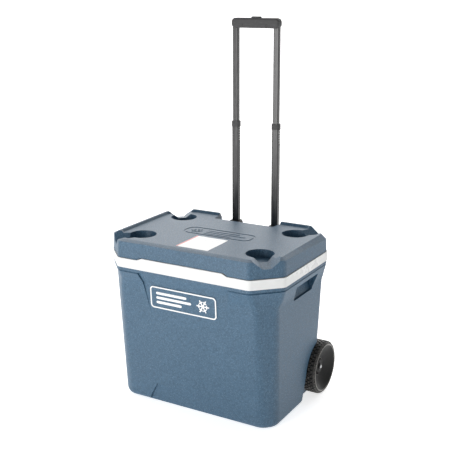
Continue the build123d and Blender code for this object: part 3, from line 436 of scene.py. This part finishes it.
def soft_rubber(name, colour=(0.018, 0.018, 0.018, 1)):
    """Dull seal rubber."""
    finish = Finish(name, colour, 0.78, specular=0.35)
    bloom = finish.grain(120, detail=4)
    finish.colour(finish.blend(finish.spread(bloom, 0.4, 0.7, 0, 1), colour, mixed(colour, WHITE, 0.05)))
    finish.bump(bloom, 0.0001, 0.4)
    return finish.material


def foam_cells(name, colour=(0.78, 0.70, 0.46, 1)):
    """Poured foam with its closed cells."""
    finish = Finish(name, colour, 0.9, specular=0.2)
    cells = finish.add("ShaderNodeTexVoronoi", Vector=finish.place, Scale=700)
    edges = cells.outputs["Distance"]
    finish.colour(finish.blend(finish.spread(edges, 0, 0.6, 0, 1), mixed(colour, BLACK, 0.25), colour))
    finish.bump(edges, 0.0003, 0.8)
    return finish.material


def wheel_plastic(name, colour):
    """Blow moulded wheel: black and dusty in the dish, with painted highlights, broken up by noise, along its
    outer lip, its shoulder edge and the tops of its blocks.
    """
    finish = Finish(name, colour, 0.5, specular=0.22)
    x, y, z = finish.axes()
    across = finish.sum("SUBTRACT", y, AXLE_Y)
    up = finish.sum("SUBTRACT", z, AXLE_Z)
    radius = finish.sum("SQRT", finish.sum("ADD", finish.sum("MULTIPLY", across, across),
                                           finish.sum("MULTIPLY", up, up)))
    out = finish.sum("SUBTRACT", finish.sum("ABSOLUTE", x), WHEEL_IN)
    rough_marks = finish.grain(520, detail=4)
    wide_marks = finish.grain(38, detail=4)
    # Painted highlight: a pale ring on the outer lip, broken up by noise, where the rim line catches the light.
    lip = finish.sum("MULTIPLY", finish.between(radius, 0.0648, 0.0692),
                     finish.sum("GREATER_THAN", out, 0.0392))
    lip_highlight = finish.sum("MULTIPLY", lip, finish.spread(rough_marks, 0.30, 0.62, 0.15, 0.85))
    # Painted highlight: paler tops of the tread blocks and of the outer shoulder edge, broken up by noise.
    edge = finish.sum("MULTIPLY", finish.sum("GREATER_THAN", radius, 0.0712),
                      finish.sum("GREATER_THAN", out, 0.0335))
    block_top_highlight = finish.sum("MULTIPLY", finish.sum("MAXIMUM", finish.sum("GREATER_THAN", radius, 0.0758), edge),
                      finish.spread(rough_marks, 0.42, 0.66, 0.0, 0.7))
    # Painted highlight: a paler ring on the hub's step, laid at about a third of its strength.
    hub = finish.sum("MULTIPLY", finish.between(radius, 0.0236, 0.0262),
                     finish.sum("GREATER_THAN", out, 0.0165))
    dust = finish.spread(wide_marks, 0.42, 0.7, 0.0, 0.5)
    base = finish.blend(dust, colour, mixed(colour, WHITE, 0.015))
    # Lay the painted lip highlight, the painted hub ring highlight and the painted block top highlight over the
    # dusty black.
    base = finish.blend(lip_highlight, base, (0.36, 0.35, 0.33, 1))
    base = finish.blend(finish.sum("MULTIPLY", hub, 0.35), base, (0.2, 0.2, 0.19, 1))
    finish.colour(finish.blend(block_top_highlight, base, (0.24, 0.23, 0.215, 1)))
    finish.roughness(finish.spread(wide_marks, 0.3, 0.7, 0.42, 0.6))
    finish.bump(rough_marks, 0.00035, 0.7)
    return finish.material


def printed_label(name, stripe):
    """White film label with one pale stripe along its edge and faint ruled lines."""
    finish = Finish(name, (0.93, 0.93, 0.93, 1), 0.42)
    low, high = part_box("lid_label")
    x, y = finish.axes()[:2]
    band = finish.between(x, low[0], low[0] + 0.0058)
    rows = finish.sum("FRACT", finish.sum("DIVIDE", finish.sum("SUBTRACT", y, low[1]), 0.0145))
    inside = finish.sum("MULTIPLY", finish.between(x, low[0] + 0.014, high[0] - 0.012),
                        finish.between(y, low[1] + 0.012, high[1] - 0.012))
    breaks = finish.spread(finish.grain(75, detail=1, stretch=(1, 0.2, 1)), 0.42, 0.5, 0, 1)
    rules = finish.sum("MULTIPLY", finish.sum("MULTIPLY", finish.between(rows, 0.42, 0.6), inside), breaks)
    paper = finish.blend(finish.sum("MULTIPLY", rules, 0.3), (0.93, 0.93, 0.93, 1), (0.3, 0.32, 0.34, 1))
    finish.colour(finish.blend(band, paper, stripe))
    finish.bump(finish.grain(260, detail=3), 0.00005, 0.5)
    return finish.material


def cooler_materials():
    """All materials of the cooler, made once."""
    if "shell_plastic" in bpy.data.materials:
        return bpy.data.materials
    look = bpy.context.scene.cooler_finish
    shell = tuple(look.shell_colour)
    fleck = tuple(look.fleck_colour)
    liner = tuple(look.liner_colour)
    tube = tuple(look.tube_colour)
    pebbled_plastic("shell_plastic", shell, fleck, look)
    pebbled_plastic("lid_plastic", shell, fleck, look)
    smooth_plastic("liner_plastic", liner, 0.3)
    smooth_plastic("badge_plastic", mixed(liner, WHITE, 0.4), 0.36)
    smooth_plastic("bush_plastic", (0.32, 0.32, 0.31, 1), 0.4)
    grained_plastic("bracket_plastic", (0.022, 0.022, 0.023, 1))
    grained_plastic("grip_plastic", (0.034, 0.034, 0.035, 1), 0.62, 0.0012)
    tube_paint("tube_paint", tube)
    tube_paint("rack_tube_paint", tube, 0.698, 0.738)
    wheel_plastic("wheel_plastic", tuple(look.wheel_colour))
    # Pale grey collar ridges: the colour is a painted highlight for the light the small ridges catch on the black
    # tube.
    grained_plastic("ridge_highlight_plastic", (0.6, 0.6, 0.59, 1), 0.4)
    zinc("zinc_steel")
    zinc("black_steel", (0.05, 0.05, 0.052, 1), 0.45)
    soft_rubber("seal_rubber")
    foam_cells("poured_foam")
    printed_label("label_film", tuple(look.stripe_colour))
    return bpy.data.materials


NODE_FINISHES = {
    "shell_plastic": ["outer_shell", "badge_plate"],
    "lid_plastic": ["lid_shell"],
    "liner_plastic": ["inner_liner", "lid_liner", "drain_spout", "drain_nut", "drain_cap"],
    "badge_plastic": ["badge_marks"],
    "bush_plastic": ["hub_bush_left", "hub_bush_right"],
    "bracket_plastic": ["body_hinge_left", "body_hinge_right", "lid_hinge_left", "lid_hinge_right",
                        "handle_bracket_upper", "handle_bracket_lower", "tube_plug_left", "tube_plug_right",
                        "axle_plate_left", "axle_plate_right", "middle_collar_left", "middle_collar_right",
                        "lower_pin_blocks", "upper_pin_blocks"],
    "grip_plastic": ["grip_front", "grip_rear", "release_button"],
    "tube_paint": ["fixed_tube_left", "fixed_tube_right", "upper_tube_left", "upper_tube_right"],
    "rack_tube_paint": ["middle_tube_left", "middle_tube_right"],
    "wheel_plastic": ["wheel_left", "wheel_right"],
    "zinc_steel": ["hinge_pin_left", "hinge_pin_right", "body_hinge_screws", "lid_hinge_screws",
                   "bracket_screws", "axle_plate_screws", "axle_left", "axle_right", "thrust_washers",
                   "grip_screws", "button_spring", "push_rods", "lower_lock_pin_left", "lower_lock_pin_right",
                   "upper_lock_pin_left", "upper_lock_pin_right"],
    "black_steel": ["push_nut_left", "push_nut_right"],
    "seal_rubber": ["drain_gasket", "drain_seal"],
    "poured_foam": ["foam_core", "lid_foam"],
    "label_film": ["lid_label"],
}


# ---------------------------------------------------------------- operators
class COOLER_OT_node_finishes(bpy.types.Operator):
    """Give every part that comes from the CAD model its material"""

    bl_idname = "cooler.node_finishes"
    bl_label = "Finish the fixed parts"

    def execute(self, context):
        materials = cooler_materials()
        for finish, nodes in NODE_FINISHES.items():
            for node in nodes:
                finish_with(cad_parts[node], materials[finish])
        return {"FINISHED"}


class COOLER_OT_moulded_skins(bpy.types.Operator):
    """Round the moulded edges of the tub shell, the lid and the white rim"""

    bl_idname = "cooler.moulded_skins"
    bl_label = "Tub, lid and rim skins"

    def execute(self, context):
        materials = cooler_materials()
        edges = context.scene.cooler_edges
        for node, name, width, finish, body, slot in (
                ("lid_shell", "lid_skin", edges.shell_edge, "lid_plastic", "lid", "lid_blue"),
                ("outer_shell", "tub_skin", edges.shell_edge, "shell_plastic", "root", "shell_blue"),
                ("inner_liner", "rim_and_tub", edges.rim_edge, "liner_plastic", "root", "liner_white")):
            skin = softened_copy(node, name, width)
            finish_with(skin, materials[finish])
            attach(skin, body)
            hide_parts(node)
        return {"FINISHED"}


COLLAR_RIDGES = 6
COLLAR_RIDGE_START = 0.016  # metres from the tube's upper end to the first ridge
COLLAR_RIDGE_PITCH = 0.0072  # metres from one ridge to the next
COLLAR_RIDGE_SIZE = (0.0024, 0.0056, 0.0028)
COLLAR_RIDGE_SUNK = 0.001  # a ridge's middle lies this far inside the tube's face, so 0.2 mm stands out


class COOLER_OT_collar_ridges(bpy.types.Operator):
    """Model one small ridge and repeat it down the right face of both middle tubes, under the collars"""

    bl_idname = "cooler.collar_ridges"
    bl_label = "Handle collar ridges"

    def execute(self, context):
        materials = cooler_materials()
        for side_name in SIDES:
            low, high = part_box(f"middle_tube_{side_name}")
            ridges = []
            for row in range(COLLAR_RIDGES):
                height = high[2] - COLLAR_RIDGE_START - row * COLLAR_RIDGE_PITCH
                place = (high[0] - COLLAR_RIDGE_SUNK, (low[1] + high[1]) / 2, height)
                ridges.append(softened_block(place, COLLAR_RIDGE_SIZE, 0.0005, 2))
            joined(ridges)
            row_of_ridges = named(f"collar_ridges_{side_name}")
            smooth(row_of_ridges, 40)
            # Pale grey finish: painted highlight on the ridges.
            finish_with(row_of_ridges, materials["ridge_highlight_plastic"])
            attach(row_of_ridges, "handle_lower")
        return {"FINISHED"}


# Half section of a wheel in millimetres: distance along the axle from the inner face, and radius.
WHEEL_SECTION = [
    (0.6, 69.5), (0.5, 72.2), (1.4, 73.8), (3.0, 74.6), (31.0, 74.6), (35.2, 73.8), (38.4, 71.6), (40.2, 69.4),
    (40.9, 68.0), (41.0, 66.4), (40.2, 65.2), (38.6, 62.6), (34.4, 56.0), (28.9, 46.6), (24.0, 37.2), (20.9, 30.4),
    (19.6, 27.6), (19.7, 26.2), (20.4, 25.6), (20.4, 24.7), (18.9, 24.1), (16.2, 22.9), (15.8, 21.4), (17.0, 20.4),
    (21.8, 19.4), (22.8, 18.7), (23.0, 17.6), (22.6, 13.4), (23.0, 12.4), (23.0, 9.0), (1.0, 9.0), (1.0, 16.0),
    (12.2, 20.0), (15.0, 27.0), (31.0, 61.0), (24.0, 66.0)]

# Tread: distance of each row of blocks from the inner face and the blocks' width, in metres.
TREAD_ROWS = ((0.0052, 0.0066), (0.0136, 0.0066), (0.0220, 0.0066), (0.0300, 0.0062))
TREAD_LONG = 0.0086  # length of a block round the wheel
TREAD_ROOT = 0.0008  # how far a block reaches into the body
KNOB_OUT = 0.0368  # the knobs on the shoulder: distance from the inner face, and from the axle
KNOB_RADIUS = 0.0724
KNOB_SIZE = (0.0066, 0.0052, 0.0030)
KNOB_TILT = math.radians(44)


class COOLER_OT_wheels(bpy.types.Operator):
    """Turn the two wheels with their deep dish, hub ring and blocks of tread"""

    bl_idname = "cooler.wheels"
    bl_label = "Wheels"

    def execute(self, context):
        materials = cooler_materials()
        for side_name, side in SIDES.items():
            wheel = self.turn_body(context.scene.cooler_wheel, side, side_name)
            self.add_tread(context.scene.cooler_wheel, wheel, side)
            finish_with(wheel, materials["wheel_plastic"])
            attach(wheel, f"wheel_{side_name}")
            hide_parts(f"wheel_{side_name}")
        return {"FINISHED"}

    def turn_body(self, sizes, side, side_name):
        """Draw the half section point by point and spin it round the axle."""
        points = [Vector((side * (WHEEL_IN + out / 1000), AXLE_Y, AXLE_Z + radius / 1000))
                  for out, radius in WHEEL_SECTION]
        bpy.ops.object.select_all(action="DESELECT")
        bpy.ops.mesh.primitive_plane_add(size=0.001, location=points[0])
        wheel = named(f"rolling_wheel_{side_name}")
        settle(wheel)
        bpy.ops.object.mode_set(mode="EDIT")
        bpy.ops.mesh.select_all(action="SELECT")
        bpy.ops.mesh.merge(type="CENTER")
        for start, end in zip(points, points[1:]):
            bpy.ops.mesh.extrude_region_move(TRANSFORM_OT_translate={"value": end - start})
        bpy.ops.mesh.select_all(action="SELECT")
        shape = bmesh.from_edit_mesh(wheel.data)
        ends = [v for v in shape.verts if len(v.link_edges) == 1]
        bpy.ops.mesh.select_all(action="DESELECT")
        for vertex in ends:
            vertex.select_set(True)
        shape.select_flush(True)
        bmesh.update_edit_mesh(wheel.data)
        bpy.ops.mesh.edge_face_add()
        bpy.ops.mesh.select_all(action="SELECT")
        bpy.ops.mesh.spin(steps=sizes.turn_steps, angle=math.tau, center=(0, AXLE_Y, AXLE_Z), axis=(1, 0, 0),
                          use_auto_merge=True)
        bpy.ops.object.mode_set(mode="OBJECT")
        clean_shell(wheel)
        return wheel

    def add_tread(self, sizes, wheel, side):
        """Model one staggered column of blocks and repeat it round the wheel."""
        pitch = math.tau / sizes.block_columns
        height = sizes.block_height + TREAD_ROOT
        middle = sizes.tread_radius - sizes.block_height + height / 2 - TREAD_ROOT
        blocks = []
        for row, (out, wide) in enumerate(TREAD_ROWS):
            place = (side * (WHEEL_IN + out), AXLE_Y, AXLE_Z + middle)
            lean = pitch / 2 if row % 2 else 0.0
            blocks.append(softened_block(place, (wide, TREAD_LONG, height), 0.0006, 1, lean=lean))
        knob_place = (side * (WHEEL_IN + KNOB_OUT), AXLE_Y, AXLE_Z + KNOB_RADIUS)
        for lean in (0.0, pitch / 2):
            blocks.append(softened_block(knob_place, KNOB_SIZE, 0.0005, 1, side * KNOB_TILT, lean))
        column = joined(blocks)
        bpy.ops.object.mode_set(mode="EDIT")
        bpy.ops.mesh.select_all(action="SELECT")
        bpy.ops.mesh.spin(steps=sizes.block_columns, angle=math.tau, center=(0, AXLE_Y, AXLE_Z), axis=(1, 0, 0),
                          dupli=True)
        bpy.ops.object.mode_set(mode="OBJECT")
        clean_shell(column)
        smooth(joined([wheel, column]), 35)


BACKDROP_TOWARDS = (-0.55, 0.80, 0.22)
FRONT_LIGHT_PLACE = Vector((-1.0, -3.6, 0.75))
FRONT_LIGHT_AIM = Vector((0, 0, 0.3))
FRONT_LIGHT_SIZE = 1.6
CAMERA_PLACE = (1.1667, -1.9754, 1.1359)
CAMERA_AZIMUTH = math.radians(30.4)
CAMERA_ELEVATION = math.radians(15.4)
CAMERA_ROLL = math.radians(-0.31)


class COOLER_OT_stage(bpy.types.Operator):
    """Set up the pale floor, the soft light and the camera"""

    bl_idname = "cooler.stage"
    bl_label = "Floor, light and camera"

    def execute(self, context):
        settings = context.scene.cooler_stage
        self.floor(settings)
        self.lights(settings)
        self.camera(settings)
        return {"FINISHED"}

    def floor(self, settings):
        """Plain pale floor under the wheels."""
        bpy.ops.object.select_all(action="DESELECT")
        bpy.ops.mesh.primitive_plane_add(size=settings.floor_size, location=(0, 0, 0))
        floor = named("floor")
        finish = Finish("floor_paint", tuple(settings.floor_colour), 0.9, specular=0.1)
        finish.bump(finish.grain(3), 0.0002, 0.2)
        finish.shader.inputs["Emission Color"].default_value = WHITE
        finish.shader.inputs["Emission Strength"].default_value = settings.floor_glow
        finish_with(floor, finish.material)

    def lights(self, settings):
        """A bright backdrop behind in a dimmer room, and one large soft light in front."""
        world = bpy.data.worlds.new("studio")
        bpy.context.scene.world = world
        world.use_nodes = True
        tree = world.node_tree
        backdrop = tree.nodes["Background"]
        backdrop.inputs["Color"].default_value = WHITE
        direction = tree.nodes.new("ShaderNodeTexCoord")
        facing = tree.nodes.new("ShaderNodeVectorMath")
        facing.operation = "DOT_PRODUCT"
        facing.inputs[1].default_value = BACKDROP_TOWARDS
        tree.links.new(direction.outputs["Generated"], facing.inputs[0])
        fade = tree.nodes.new("ShaderNodeMapRange")
        fade.interpolation_type = "SMOOTHSTEP"
        fade.inputs["From Min"].default_value = 0.40
        fade.inputs["From Max"].default_value = 0.85
        fade.inputs["To Min"].default_value = settings.room_strength
        fade.inputs["To Max"].default_value = settings.backdrop_strength
        tree.links.new(facing.outputs["Value"], fade.inputs["Value"])
        tree.links.new(fade.outputs["Result"], backdrop.inputs["Strength"])
        bpy.ops.object.light_add(type="AREA", location=FRONT_LIGHT_PLACE)
        light = bpy.context.object
        light.name = "front_light"
        light.data.energy = settings.key_power
        light.data.shape = "SQUARE"
        light.data.size = FRONT_LIGHT_SIZE
        light.rotation_euler = (FRONT_LIGHT_AIM - FRONT_LIGHT_PLACE).to_track_quat("-Z", "Y").to_euler()

    def camera(self, settings):
        """Camera a little above the front right corner."""
        bpy.ops.object.camera_add(location=CAMERA_PLACE)
        camera = bpy.context.object
        camera.name = "view_camera"
        level = math.cos(CAMERA_ELEVATION)
        back = Vector((math.sin(CAMERA_AZIMUTH) * level, -math.cos(CAMERA_AZIMUTH) * level,
                       math.sin(CAMERA_ELEVATION)))
        right = Vector((math.cos(CAMERA_AZIMUTH), math.sin(CAMERA_AZIMUTH), 0))
        up = back.cross(right)
        turn = Matrix((right, up, back)).transposed()
        roll = Matrix.Rotation(CAMERA_ROLL, 3, "Z")
        camera.rotation_euler = (turn @ roll).to_euler()
        camera.data.sensor_width = 36
        camera.data.lens = settings.lens
        camera.data.shift_x = 0.0076
        camera.data.shift_y = -0.0033
        camera.data.clip_end = 500
        bpy.context.scene.camera = camera
        bpy.context.scene.view_settings.view_transform = "Standard"


class COOLER_PT_panel(bpy.types.Panel):
    """Sizes, colours and steps of the cooler"""

    bl_idname = "COOLER_PT_panel"
    bl_label = "Wheeled Cooler"
    bl_space_type = "VIEW_3D"
    bl_region_type = "UI"
    bl_category = "Cooler"

    def draw(self, context):
        layout = self.layout
        for group in ("cooler_finish", "cooler_edges", "cooler_wheel", "cooler_stage"):
            box = layout.box()
            settings = getattr(context.scene, group)
            for name in settings.bl_rna.properties.keys():
                if name not in ("rna_type", "name"):
                    box.prop(settings, name)
        for operator in STEPS:
            layout.operator(operator.bl_idname)


STEPS = (COOLER_OT_stage, COOLER_OT_node_finishes, COOLER_OT_moulded_skins, COOLER_OT_collar_ridges,
         COOLER_OT_wheels)
GROUPS = {"cooler_finish": CoolerFinish, "cooler_edges": CoolerEdges, "cooler_wheel": CoolerWheel,
          "cooler_stage": CoolerStage}


def register():
    """Register the settings, the operators and the panel."""
    for name, group in GROUPS.items():
        bpy.utils.register_class(group)
        setattr(bpy.types.Scene, name, PointerProperty(type=group))
    for operator in STEPS:
        bpy.utils.register_class(operator)
    bpy.utils.register_class(COOLER_PT_panel)


def unregister():
    """Remove everything that register added."""
    bpy.utils.unregister_class(COOLER_PT_panel)
    for operator in reversed(STEPS):
        bpy.utils.unregister_class(operator)
    for name, group in reversed(GROUPS.items()):
        delattr(bpy.types.Scene, name)
        bpy.utils.unregister_class(group)


def main():
    """Build the whole cooler step by step."""
    register()
    bpy.ops.cooler.stage()
    bpy.ops.cooler.node_finishes()
    bpy.ops.cooler.moulded_skins()
    bpy.ops.cooler.collar_ridges()
    bpy.ops.cooler.wheels()


if __name__ == "__main__":
    main()
